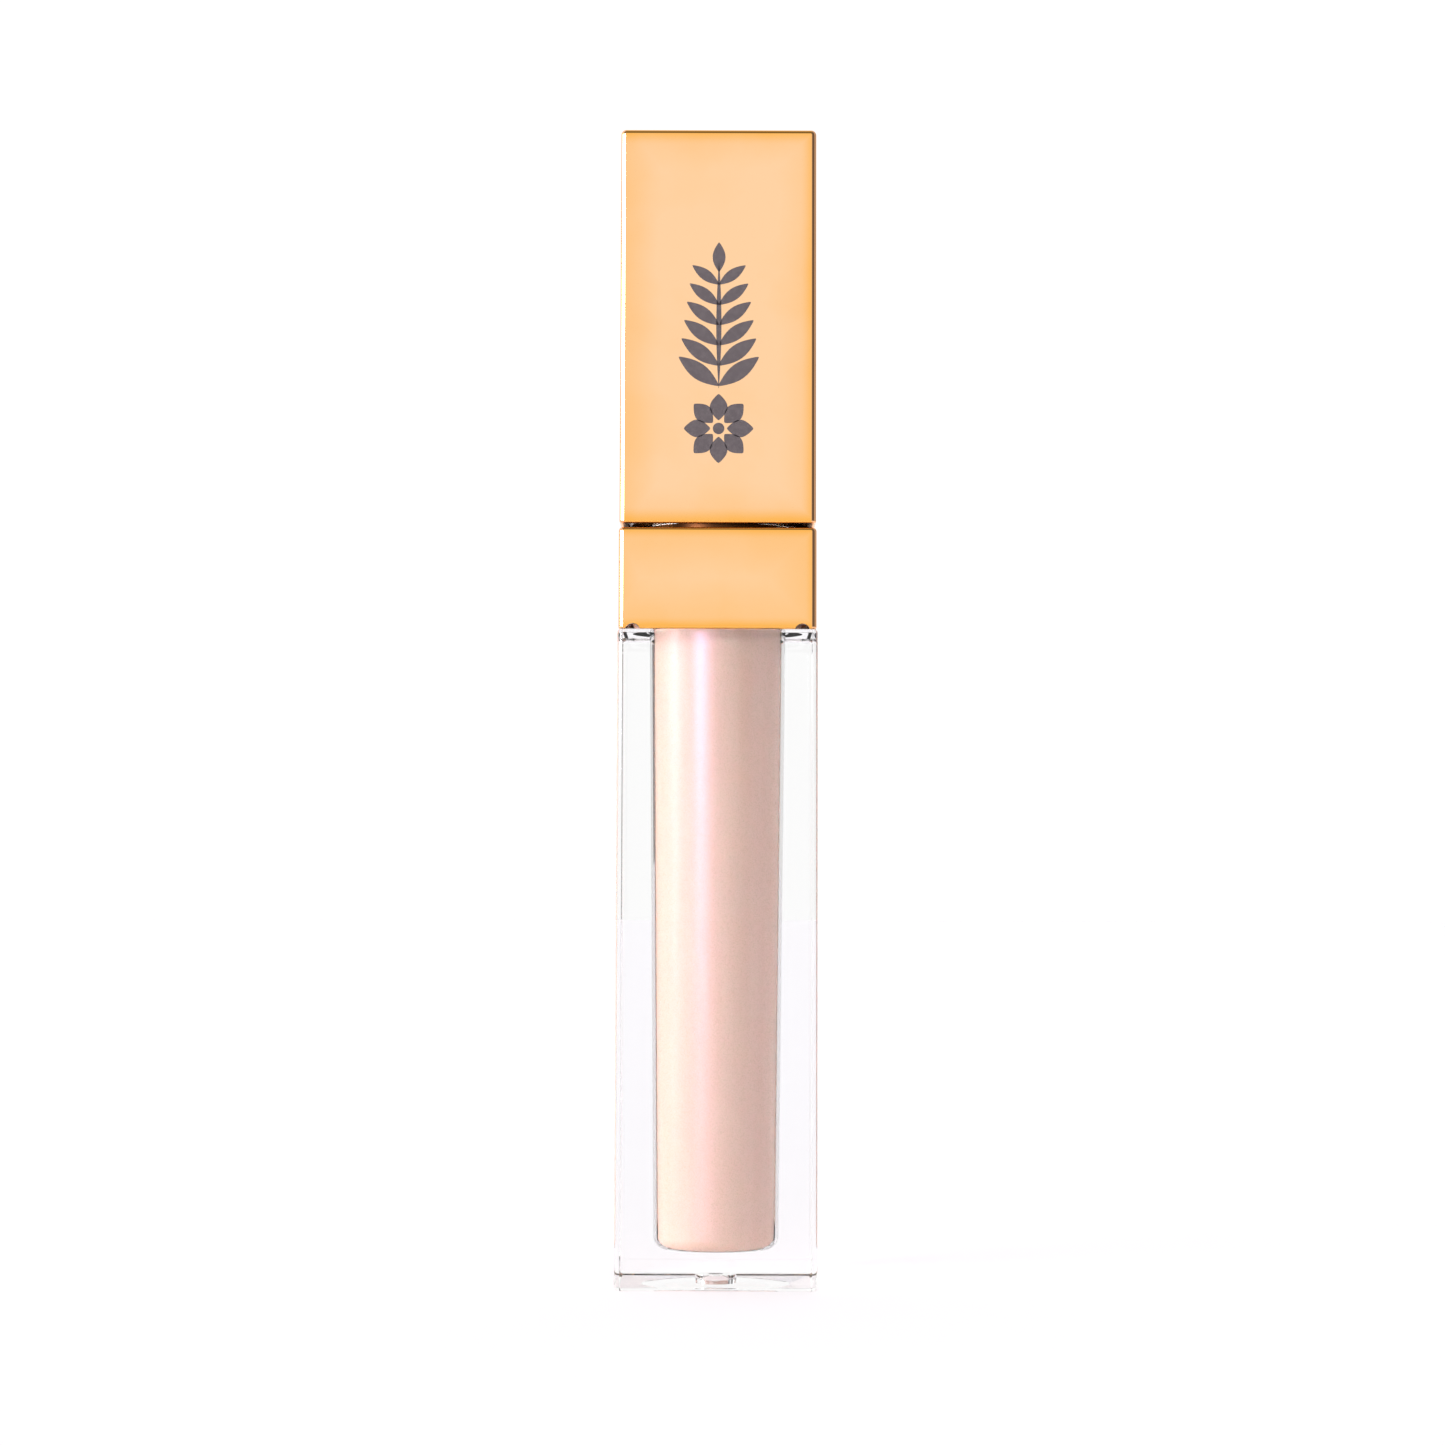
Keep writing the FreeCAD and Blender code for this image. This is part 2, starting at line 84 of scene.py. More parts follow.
# ---------------------------------------------------------------- node trees
class Tree:
    """A node tree under construction, in a material, a world or a group."""

    def __init__(self, tree: bpy.types.NodeTree) -> None:
        """Wraps a tree.

        Args:
            tree: The tree that nodes are added to.
        """
        self.tree = tree

    def add(self, kind: str, **settings: object) -> bpy.types.Node:
        """Adds a node and sets its properties.

        Args:
            kind: The node's type without the word ShaderNode.
            settings: Properties of the node by name.

        Returns:
            The new node.
        """
        node = self.tree.nodes.new(f"ShaderNode{kind}")
        for name, value in settings.items():
            setattr(node, name, value)
        return node

    def feed(self, node: bpy.types.Node, name: str | int, value: object) -> None:
        """Links a socket into an input, or sets the input to a plain value.

        Args:
            node: The node whose input is fed.
            name: The input's name or number.
            value: An output socket, a number, a vector or a colour.
        """
        socket = node.inputs[name]
        if isinstance(value, Socket):
            self.tree.links.new(value, socket)
        else:
            socket.default_value = value

    def math(self, operation: str, first: object, second: object = 0.0) -> Socket:
        """One arithmetic step on two values.

        Args:
            operation: Blender's name of the operation.
            first: The first value or socket.
            second: The second value or socket.

        Returns:
            The result's socket.
        """
        node = self.add("Math", operation=operation)
        self.feed(node, 0, first)
        self.feed(node, 1, second)
        return node.outputs[0]

    def ramp(self, value: object, low: float, high: float, to: tuple[float, float] = (0.0, 1.0)) -> Socket:
        """A smooth step of a value from one level to another.

        Args:
            value: The value or socket that is stepped.
            low: The value at which the step starts.
            high: The value at which it ends.
            to: The results at the start and at the end.

        Returns:
            The step's socket.
        """
        node = self.add("MapRange", interpolation_type="SMOOTHSTEP")
        self.feed(node, "Value", value)
        for name, number in zip(("From Min", "From Max", "To Min", "To Max"), (low, high, *to)):
            node.inputs[name].default_value = number
        return node.outputs["Result"]

    def mix(self, share: object, first: object, second: object) -> Socket:
        """A mix of two colours.

        Args:
            share: How much of the second colour shows.
            first: The first colour or socket.
            second: The second colour or socket.

        Returns:
            The mixed colour's socket.
        """
        node = self.add("Mix", data_type="RGBA", blend_type="MIX")
        self.feed(node, 0, share)
        self.feed(node, 6, first)
        self.feed(node, 7, second)
        return node.outputs[2]

    def noise(self, place: Socket, scale: float, detail: float = 2.0) -> Socket:
        """Soft noise over a place.

        Args:
            place: The coordinates in metres.
            scale: Cells in a metre.
            detail: Octaves of finer noise.

        Returns:
            The noise value's socket.
        """
        node = self.add("TexNoise")
        self.feed(node, "Vector", place)
        node.inputs["Scale"].default_value = scale
        node.inputs["Detail"].default_value = detail
        return node.outputs["Fac"]

    def place(self) -> Socket:
        """The Object coordinates, which are the part's own frame in metres."""
        return self.add("TexCoord").outputs["Object"]

    def stretched(self, place: Socket, by: tuple[float, float, float]) -> Socket:
        """Coordinates scaled by a factor along each axis.

        Args:
            place: The coordinates.
            by: The factor for each axis.

        Returns:
            The scaled coordinates.
        """
        node = self.add("Mapping")
        self.feed(node, "Vector", place)
        node.inputs["Scale"].default_value = by
        return node.outputs["Vector"]

    def bump(self, height: object, strength: float, depth: float) -> Socket:
        """A bump's normal.

        Args:
            height: The height's socket, from 0 to 1.
            strength: How strongly it bends the normal.
            depth: The height of 1, in metres.

        Returns:
            The normal's socket.
        """
        node = self.add("Bump")
        self.feed(node, "Height", height)
        node.inputs["Strength"].default_value = strength
        node.inputs["Distance"].default_value = depth
        return node.outputs["Normal"]

    def effect(self, effect: Effect, **values: object) -> bpy.types.Node:
        """Places a shared effect and feeds its inputs.

        Args:
            effect: The effect, whose group is built when it is first used.
            values: The inputs by name, with spaces written as underscores.

        Returns:
            The group's node.
        """
        tree = bpy.data.node_groups.get(effect.value) or EFFECT_MAKERS[effect]()
        node = self.add("Group", node_tree=tree)
        for name, value in values.items():
            self.feed(node, name.replace("_", " "), value)
        return node


def new_group(
    effect: Effect, inputs: dict[str, str], outputs: tuple[str, ...],
) -> tuple[Tree, bpy.types.Node, bpy.types.Node]:
    """Starts the node group of an effect.

    Args:
        effect: The effect.
        inputs: Socket types by input name, without the words NodeSocket.
        outputs: The names of the outputs, which are all values.

    Returns:
        The group's tree, its input node and its output node.
    """
    tree = bpy.data.node_groups.new(effect.value, "ShaderNodeTree")
    for label, kind in inputs.items():
        tree.interface.new_socket(label, in_out="INPUT", socket_type=f"NodeSocket{kind}")
    for label in outputs:
        tree.interface.new_socket(label, in_out="OUTPUT", socket_type="NodeSocketFloat")
    return Tree(tree), tree.nodes.new("NodeGroupInput"), tree.nodes.new("NodeGroupOutput")


def handling_group() -> bpy.types.NodeTree:
    """Faint smudges and hairline scratches that handling leaves on a polished face.

    Returns:
        A group with Place and Amount in, and Roughness and Height out.
    """
    tree, start, end = new_group(
        Effect.HANDLING, {"Place": "Vector", "Amount": "Float"}, ("Roughness", "Height"),
    )
    place, amount = start.outputs["Place"], start.outputs["Amount"]
    smudge = tree.ramp(tree.noise(place, 90.0, 3.0), 0.45, 0.75)
    scratch_place = tree.stretched(place, (1.0, 1.0, 0.06))
    scratch = tree.ramp(tree.noise(scratch_place, 9000.0, 0.0), 0.72, 0.8)
    worn = tree.math("ADD", tree.math("MULTIPLY", smudge, 0.05), tree.math("MULTIPLY", scratch, 0.03))
    tree.feed(end, "Roughness", tree.math("MULTIPLY", worn, amount))
    tree.feed(end, "Height", tree.math("MULTIPLY", tree.noise(place, 160.0, 2.0), amount))
    return tree.tree


def grain_group() -> bpy.types.NodeTree:
    """The soft cloudiness and fine grain of a moulded plastic.

    Returns:
        A group with Place in, and Cloud, Grain and Roughness out; Roughness varies round zero.
    """
    tree, start, end = new_group(Effect.GRAIN, {"Place": "Vector"}, ("Cloud", "Grain", "Roughness"))
    place = start.outputs["Place"]
    fine = tree.noise(place, 2500.0, 2.0)
    tree.feed(end, "Cloud", tree.ramp(tree.noise(place, 260.0, 3.0), 0.3, 0.75))
    tree.feed(end, "Grain", fine)
    tree.feed(end, "Roughness", tree.ramp(fine, 0.2, 0.8, (-0.06, 0.06)))
    return tree.tree


def residue_group() -> bpy.types.NodeTree:
    """The film of gloss that stays on what has been dipped, with runs at its ragged upper end.

    Returns:
        A group with Place, Level and Fade in, and Wet out: 1 under the level.
    """
    tree, start, end = new_group(
        Effect.RESIDUE, {"Place": "Vector", "Level": "Float", "Fade": "Float"}, ("Wet",),
    )
    place, level, fade = (start.outputs[name] for name in ("Place", "Level", "Fade"))
    split = tree.add("SeparateXYZ")
    tree.feed(split, 0, place)
    runs = tree.noise(tree.stretched(place, (1.0, 1.0, 0.12)), 700.0, 3.0)
    ragged = tree.math("MULTIPLY", tree.math("SUBTRACT", runs, 0.5), tree.math("MULTIPLY", fade, 3.0))
    over = tree.math("SUBTRACT", tree.math("ADD", split.outputs[2], ragged), level)
    wet = tree.ramp(tree.math("DIVIDE", over, fade), -1.0, 1.0, (1.0, 0.0))
    tree.feed(end, "Wet", wet)
    return tree.tree


def border_group() -> bpy.types.NodeTree:
    """How near a point of an upright square piece is to the borders of its flat face.

    Left and right are as seen from in front of each face, so all four sides are alike. The left part
    has its own reach and share and no narrow band, so the painted reflection stays lighter on the left.

    Returns:
        A group with Place, Half Width, Foot, Top and Bevel in, and a reach and a share for each part of
        the painted reflection at a face's edges: Left, Wide and Narrow. Painted Reflection out is 1 where it
        is deepest, Bevel out is 1 on a rounded edge, and Painted Shade out is 1 on the inner faces.
    """
    numbers = (
        "Half Width", "Foot", "Top", "Bevel", "Left Reach", "Left Share", "Wide Reach", "Wide Share",
        "Narrow Reach", "Narrow Share",
    )
    tree, start, end = new_group(
        Effect.BORDER, {"Place": "Vector"} | {name: "Float" for name in numbers},
        ("Painted Reflection", "Bevel", "Painted Shade"),
    )
    given = {name: start.outputs[name] for name in numbers}
    split = tree.add("SeparateXYZ")
    tree.feed(split, 0, start.outputs["Place"])
    x, y, z = split.outputs[0], split.outputs[1], split.outputs[2]
    across, deep = tree.math("ABSOLUTE", x), tree.math("ABSOLUTE", y)
    on_side = tree.math("GREATER_THAN", across, deep)
    on_front = tree.math("SUBTRACT", 1.0, on_side)
    side_along = tree.math("MULTIPLY", tree.math("MULTIPLY", y, tree.math("SIGN", x)), on_side)
    front_along = tree.math("MULTIPLY", tree.math("MULTIPLY", x, tree.math("SIGN", y)), on_front)
    along = tree.math("SUBTRACT", side_along, front_along)
    from_right = tree.math("SUBTRACT", given["Half Width"], along)
    from_left = tree.math("ADD", given["Half Width"], along)
    from_edge = tree.math("SUBTRACT", given["Half Width"], tree.math("MAXIMUM", across, deep))
    from_top = tree.math("MAXIMUM", tree.math("SUBTRACT", given["Top"], z), from_edge)
    from_foot = tree.math("SUBTRACT", z, given["Foot"])
    plain = tree.math("MINIMUM", from_right, tree.math("MINIMUM", from_top, from_foot))
    # painted reflection mask: how far into the edge band of its face a point lies
    parts = []
    for distance, part in ((from_left, "Left"), (plain, "Wide"), (plain, "Narrow")):
        inside = tree.ramp(tree.math("DIVIDE", distance, given[f"{part} Reach"]), 0.0, 1.0)
        parts.append(tree.math("MULTIPLY", tree.math("SUBTRACT", 1.0, inside), given[f"{part} Share"]))
    broad = tree.math("MAXIMUM", parts[0], parts[1])
    tree.feed(end, "Painted Reflection", tree.math("ADD", broad, parts[2]))
    # Bevel mask, for the painted reflection tone of the rounded edges
    upright = tree.math("DIVIDE", tree.math("MINIMUM", from_right, from_left), given["Bevel"])
    tree.feed(end, "Bevel", tree.math("SUBTRACT", 1.0, tree.ramp(upright, 0.75, 1.05)))
    # painted shade mask: faces inward of the outer planes, under or above the flat top
    under_skin = (0.3 * MM, 0.35 * MM)
    below = tree.ramp(tree.math("SUBTRACT", given["Top"], z), *under_skin)
    above = tree.ramp(tree.math("SUBTRACT", z, given["Top"]), 0.02 * MM, 0.05 * MM)
    inner = tree.ramp(from_edge, *under_skin)
    tree.feed(end, "Painted Shade", tree.math("MULTIPLY", tree.math("ADD", below, above), inner))
    return tree.tree


EFFECT_MAKERS: dict[Effect, Callable[[], bpy.types.NodeTree]] = {
    Effect.HANDLING: handling_group,
    Effect.GRAIN: grain_group,
    Effect.RESIDUE: residue_group,
    Effect.BORDER: border_group,
}


# ---------------------------------------------------------------- finishes
@dataclass(frozen=True)
class Blank:
    """A material under construction."""

    material: bpy.types.Material
    tree: Tree
    shader: bpy.types.Node
    output: bpy.types.Node
    place: Socket

    def topped(self, share: Socket, over: bpy.types.Node) -> None:
        """Lays another shader over the Principled one.

        Args:
            share: How much of the other shader shows.
            over: The other shader.
        """
        both = self.tree.add("MixShader")
        self.tree.feed(both, 0, share)
        self.tree.feed(both, 1, self.shader.outputs[0])
        self.tree.feed(both, 2, over.outputs[0])
        self.tree.feed(self.output, "Surface", both.outputs[0])


@dataclass(frozen=True)
class Finish:
    """A surface finish that builds its own material."""

    name: str

    def start(self) -> Blank:
        """Starts the material.

        Returns:
            The material with its Principled shader joined to the output.
        """
        material = bpy.data.materials.new(self.name)
        material.use_nodes = True
        material.node_tree.nodes.clear()
        tree = Tree(material.node_tree)
        shader, output = tree.add("BsdfPrincipled"), tree.add("OutputMaterial")
        tree.feed(output, "Surface", shader.outputs[0])
        return Blank(material, tree, shader, output, tree.place())

    def material(self) -> bpy.types.Material:
        """Builds the material; each finish has its own."""
        raise NotImplementedError


@dataclass(frozen=True)
class MirrorGold(Finish):
    """Vacuum-metallised plastic: mirror gold, pale in the middle of a face, deeper at its borders.

    Deeper tones at the borders and on the bevels are painted reflection; inner faces get a painted shade.
    Left, wide and narrow are the parts of the edge reflection, each with its reach and its share.
    """

    middle: Colour = (0.98, 0.63, 0.36, 1.0)
    # painted reflection: the deeper gold towards a face's borders
    border_reflection: Colour = (0.96, 0.47, 0.10, 1.0)
    # painted reflection: the tone of the rounded edges
    bevel: Colour = (0.95, 0.51, 0.26, 1.0)
    # painted shade: the dark brown of the inner faces
    painted_recess_shade: Colour = (0.075, 0.03, 0.011, 1.0)
    recess_roughness: float = 0.25
    half_width: float = 9.35 * MM
    foot: float = 72.2 * MM
    top: float = 110.1 * MM
    bevel_width: float = 0.5 * MM
    # reach and share of each part of the painted reflection at a face's edges
    left: tuple[float, float] = (4.5 * MM, 0.45)
    wide: tuple[float, float] = (4.8 * MM, 0.33)
    narrow: tuple[float, float] = (1.6 * MM, 0.7)
    roughness: float = 0.035

    def material(self) -> bpy.types.Material:
        """Builds the metallised finish.

        Returns:
            The material.
        """
        blank = self.start()
        tree, shader, place = blank.tree, blank.shader, blank.place
        border_reflection = tree.effect(
            Effect.BORDER, Place=place, Half_Width=self.half_width, Foot=self.foot, Top=self.top,
            Bevel=self.bevel_width, Left_Reach=self.left[0], Left_Share=self.left[1], Wide_Reach=self.wide[0],
            Wide_Share=self.wide[1], Narrow_Reach=self.narrow[0], Narrow_Share=self.narrow[1],
        )
        cloud = tree.ramp(tree.noise(place, 170.0, 5.0), 0.3, 0.7, (-0.06, 0.08))
        # painted reflection: the face tone deepens from the middle gold towards the borders
        face = tree.mix(tree.math("ADD", border_reflection.outputs["Painted Reflection"], cloud), self.middle, self.border_reflection)
        # painted reflection on the bevels
        outside = tree.mix(border_reflection.outputs["Bevel"], face, self.bevel)
        # painted shade on the inner faces
        tree.feed(shader, "Base Color", tree.mix(border_reflection.outputs["Painted Shade"], outside, self.painted_recess_shade))
        marks = tree.effect(Effect.HANDLING, Place=place, Amount=1.0)
        dull = tree.math("MULTIPLY", border_reflection.outputs["Painted Shade"], self.recess_roughness)
        polish = tree.math("ADD", marks.outputs["Roughness"], self.roughness)
        tree.feed(shader, "Roughness", tree.math("ADD", polish, dull))
        tree.feed(shader, "Normal", tree.bump(marks.outputs["Height"], 0.04, 0.2 * MM))
        shader.inputs["Metallic"].default_value = 1.0
        return blank.material


@dataclass(frozen=True)
class ClearPlastic(Finish):
    """Thick clear moulding: polished, almost without colour, with the faint waviness of a thick wall."""

    tint: Colour = (0.938, 0.938, 0.936, 1.0)
    lamp_share: float = 0.92
    ior: float = 1.57

    def material(self) -> bpy.types.Material:
        """Builds the clear plastic, which lets lamps shine through it onto what it holds.

        Returns:
            The material.
        """
        blank = self.start()
        tree, shader, place = blank.tree, blank.shader, blank.place
        marks = tree.effect(Effect.HANDLING, Place=place, Amount=0.35)
        tree.feed(shader, "Roughness", marks.outputs["Roughness"])
        flow = tree.noise(tree.stretched(place, (1.0, 1.0, 0.2)), 220.0, 1.0)
        tree.feed(shader, "Normal", tree.bump(flow, 0.01, 0.1 * MM))
        shader.inputs["Base Color"].default_value = self.tint
        shader.inputs["IOR"].default_value = self.ior
        shader.inputs["Transmission Weight"].default_value = 1.0
        clear = tree.add("BsdfTransparent")
        clear.inputs["Color"].default_value = grey(self.lamp_share)
        blank.topped(tree.add("LightPath").outputs["Is Shadow Ray"], clear)
        return blank.material


@dataclass(frozen=True)
class PearlGloss(Finish):
    """Thick pearly gloss: milky peach body, pink pearl where it catches light, shimmer and streaks."""

    body: Colour = (0.80, 0.575, 0.44, 1.0)
    pale: Colour = (0.88, 0.70, 0.58, 1.0)
    pearl: Colour = (1.0, 0.62, 0.95, 1.0)
    sparkle: Colour = (1.0, 0.80, 0.80, 1.0)
    flakes_in_a_metre: float = 16000.0
    wall_ior: float = 0.93

    def material(self) -> bpy.types.Material:
        """Builds the gloss as it looks against the clear wall that it wets.

        Returns:
            The material.
        """
        blank = self.start()
        tree, shader, place = blank.tree, blank.shader, blank.place
        streak = tree.ramp(tree.noise(tree.stretched(place, (1.0, 1.0, 0.05)), 420.0, 3.0), 0.35, 0.7)
        flake_cells = tree.add("TexVoronoi")
        tree.feed(flake_cells, "Vector", place)
        flake_cells.inputs["Scale"].default_value = self.flakes_in_a_metre
        flake = tree.add("SeparateXYZ")
        tree.feed(flake, 0, flake_cells.outputs["Color"])
        glint = tree.ramp(flake.outputs[0], 0.9, 0.99)
        colour = tree.mix(tree.math("MULTIPLY", streak, 0.35), self.body, self.pale)
        colour = tree.mix(tree.math("MULTIPLY", glint, 0.25), colour, self.sparkle)
        tree.feed(shader, "Base Color", colour)
        tree.feed(shader, "Roughness", tree.ramp(flake.outputs[1], 0.0, 1.0, (0.26, 0.36)))
        tree.feed(shader, "Normal", tree.bump(flake.outputs[2], 0.08, 0.05 * MM))
        shader.inputs["IOR"].default_value = 1.6
        shader.inputs["Specular IOR Level"].default_value = 0.9
        shader.inputs["Specular Tint"].default_value = self.pearl
        shader.inputs["Subsurface Weight"].default_value = 0.6
        shader.inputs["Subsurface Radius"].default_value = (1.0, 0.55, 0.4)
        shader.inputs["Subsurface Scale"].default_value = 1.5 * MM
        rim = tree.add("BsdfGlossy")
        rim.inputs["Roughness"].default_value = 0.02
        share = tree.add("Fresnel")
        share.inputs["IOR"].default_value = self.wall_ior
        blank.topped(share.outputs[0], rim)
        return blank.material


@dataclass(frozen=True)
class MouldedPlastic(Finish):
    """Moulded plastic or rubber, slightly cloudy, with a fine grain and a film of gloss where dipped."""

    colour: Colour = (0.86, 0.86, 0.84, 1.0)
    shade: Colour = (0.78, 0.78, 0.76, 1.0)
    film: Colour = (0.80, 0.56, 0.48, 1.0)
    film_level: float = 0.0
    film_fade: float = 2.0 * MM
    roughness: float = 0.4
    depth: float = 0.3

    def material(self) -> bpy.types.Material:
        """Builds the moulded finish.

        Returns:
            The material.
        """
        blank = self.start()
        tree, shader, place = blank.tree, blank.shader, blank.place
        grain = tree.effect(Effect.GRAIN, Place=place)
        full = self.film_level - self.film_fade
        wet = tree.effect(Effect.RESIDUE, Place=place, Level=full, Fade=self.film_fade)
        plastic = tree.mix(grain.outputs["Cloud"], self.colour, self.shade)
        tree.feed(shader, "Base Color", tree.mix(wet.outputs["Wet"], plastic, self.film))
        dry = tree.math("ADD", grain.outputs["Roughness"], self.roughness)
        slick = tree.math("MULTIPLY", wet.outputs["Wet"], self.roughness * 0.6)
        tree.feed(shader, "Roughness", tree.math("SUBTRACT", dry, slick))
        tree.feed(shader, "Normal", tree.bump(grain.outputs["Grain"], 0.12, 0.03 * MM))
        shader.inputs["Subsurface Weight"].default_value = self.depth
        shader.inputs["Subsurface Radius"].default_value = (1.0, 0.9, 0.8)
        shader.inputs["Subsurface Scale"].default_value = 0.8 * MM
        return blank.material


@dataclass(frozen=True)
class ShadedFootLiner(Finish):
    """White moulded liner whose foot, the part that shows in the shadow gap under the cap, gets a painted
    shade of dark brown metal.
    """

    colour: Colour = (0.86, 0.86, 0.84, 1.0)
    shade: Colour = (0.79, 0.79, 0.77, 1.0)
    # painted shade: the dark brown metal of the foot
    painted_foot_shade: Colour = (0.30, 0.13, 0.04, 1.0)
    shaded_foot_top: float = 73.1 * MM

    def material(self) -> bpy.types.Material:
        """Builds the liner's finish.

        Returns:
            The material.
        """
        blank = self.start()
        tree, shader, place = blank.tree, blank.shader, blank.place
        grain = tree.effect(Effect.GRAIN, Place=place)
        split = tree.add("SeparateXYZ")
        tree.feed(split, 0, place)
        ragged = tree.math("MULTIPLY", grain.outputs["Grain"], 0.3 * MM)
        height = tree.math("ADD", split.outputs[2], ragged)
        # painted shade mask: the foot, up to a ragged top
        shaded_foot = tree.ramp(height, self.shaded_foot_top, self.shaded_foot_top + 0.1 * MM, (1.0, 0.0))
        plastic = tree.mix(grain.outputs["Cloud"], self.colour, self.shade)
        tree.feed(shader, "Base Color", tree.mix(shaded_foot, plastic, self.painted_foot_shade))
        tree.feed(shader, "Metallic", shaded_foot)
        tree.feed(shader, "Roughness", tree.ramp(shaded_foot, 0.0, 1.0, (0.4, 0.25)))
        tree.feed(shader, "Normal", tree.bump(grain.outputs["Grain"], 0.12, 0.03 * MM))
        return blank.material


@dataclass(frozen=True)
class Flock(Finish):
    """Short nylon pile, soaked with gloss and a little drier in streaks near its upper end."""

    dry: Colour = (0.90, 0.82, 0.78, 1.0)
    wet: Colour = (0.80, 0.52, 0.44, 1.0)
    wet_level: float = 22.0 * MM
    wet_fade: float = 3.5 * MM

    def material(self) -> bpy.types.Material:
        """Builds the pile's finish.

        Returns:
            The material.
        """
        blank = self.start()
        tree, shader, place = blank.tree, blank.shader, blank.place
        film = tree.effect(Effect.RESIDUE, Place=place, Level=self.wet_level, Fade=self.wet_fade)
        wet = film.outputs["Wet"]
        tree.feed(shader, "Base Color", tree.mix(wet, self.dry, self.wet))
        tree.feed(shader, "Roughness", tree.ramp(wet, 0.0, 1.0, (0.85, 0.32)))
        tree.feed(shader, "Normal", tree.bump(tree.noise(place, 6000.0, 1.0), 0.5, 0.05 * MM))
        shader.inputs["Sheen Weight"].default_value = 0.5
        shader.inputs["Sheen Roughness"].default_value = 0.4
        return blank.material


@dataclass(frozen=True)
class PrintInk(Finish):
    """Dark grey screen print with a slightly uneven lay-down."""

    colour: Colour = (0.080, 0.062, 0.067, 1.0)
    thin: Colour = (0.105, 0.084, 0.088, 1.0)

    def material(self) -> bpy.types.Material:
        """Builds the ink.

        Returns:
            The material.
        """
        blank = self.start()
        tree, shader, place = blank.tree, blank.shader, blank.place
        lay = tree.ramp(tree.noise(place, 1800.0, 3.0), 0.35, 0.75)
        tree.feed(shader, "Base Color", tree.mix(lay, self.colour, self.thin))
        tree.feed(shader, "Roughness", tree.ramp(lay, 0.0, 1.0, (0.42, 0.55)))
        tree.feed(shader, "Normal", tree.bump(lay, 0.1, 0.02 * MM))
        return blank.material


@dataclass(frozen=True)
class PaleFloor(Finish):
    """Matt white sweep under the tube."""

    colour: Colour = (0.86, 0.86, 0.86, 1.0)
    tooth: Colour = (0.80, 0.80, 0.80, 1.0)

    def material(self) -> bpy.types.Material:
        """Builds the sweep's paint.

        Returns:
            The material.
        """
        blank = self.start()
        tree, shader = blank.tree, blank.shader
        tooth = tree.noise(blank.place, 900.0, 3.0)
        tree.feed(shader, "Base Color", tree.mix(tree.math("MULTIPLY", tooth, 0.02), self.colour, self.tooth))
        tree.feed(shader, "Normal", tree.bump(tooth, 0.02, 0.05 * MM))
        shader.inputs["Roughness"].default_value = 0.9
        shader.inputs["Specular IOR Level"].default_value = 0.1
        return blank.material


# ---------------------------------------------------------------- pieces
def dress(node: str, finish: Finish) -> None:
    """Gives a packed moulding, which keeps its shape, its finish.

    Args:
        node: The moulding's node.
        finish: The finish that it gets.
    """
    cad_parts[node].material_slots[0].material = finish.material()
    LOG.info("%s: packed shape, finish %s", node, finish.name)


def finished(name: str, bm: bmesh.types.BMesh, finish: Finish, smooth: float = 40.0) -> bpy.types.Object:
    """Turns a bmesh into a piece at the origin, with its finish and with sharp edges kept.

    Args:
        name: The piece's name.
        bm: The mesh, in place in the part's frame; it is freed.
        finish: The finish that it gets.
        smooth: Edges that turn by more than this many degrees stay sharp.

    Returns:
        The new object.
    """
    mesh = bpy.data.meshes.new(name)
    bm.to_mesh(mesh)
    bm.free()
    mesh.materials.append(finish.material())
    mesh.shade_smooth()
    mesh.set_sharp_from_angle(angle=math.radians(smooth))
    piece = bpy.data.objects.new(name, mesh)
    bpy.context.scene.collection.objects.link(piece)
    LOG.info("%s: %d faces, finish %s", name, len(mesh.polygons), finish.name)
    return piece


def mounted(piece: bpy.types.Object, body: Body) -> None:
    """Makes a new piece ride on a body.

    Args:
        piece: The piece.
        body: The body that it rides on.
    """
    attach(piece, body.value)


def turned(outline: list[tuple[float, float]], steps: int) -> bmesh.types.BMesh:
    """A closed round shape, spun about the axis from an outline of (radius, height) points.

    Args:
        outline: The points from the axis at the foot round to the axis at the top.
        steps: The number of steps round.

    Returns:
        The mesh, with its seam and poles closed.
    """
    bm = bmesh.new()
    points = [bm.verts.new((radius, 0.0, height)) for radius, height in outline]
    edges = [bm.edges.new(pair) for pair in zip(points, points[1:])]
    bmesh.ops.spin(
        bm, geom=points + edges, cent=(0, 0, 0), axis=(0, 0, 1), angle=math.tau, steps=steps, use_merge=True,
    )
    bmesh.ops.remove_doubles(bm, verts=bm.verts, dist=1e-3 * MM)
    bmesh.ops.recalc_face_normals(bm, faces=bm.faces)
    return bm


def ring_edges(bm: bmesh.types.BMesh, height: float, radius: float) -> list[bmesh.types.BMEdge]:
    """The edges of one level ring.

    Args:
        bm: The mesh.
        height: The ring's height.
        radius: The ring's radius.

    Returns:
        The ring's edges.
    """
    near = 0.01 * MM

    def on_ring(vert: bmesh.types.BMVert) -> bool:
        """Whether a vertex lies on the ring."""
        return abs(vert.co.z - height) < near and abs(vert.co.xy.length - radius) < near

    return [edge for edge in bm.edges if all(on_ring(vert) for vert in edge.verts)]


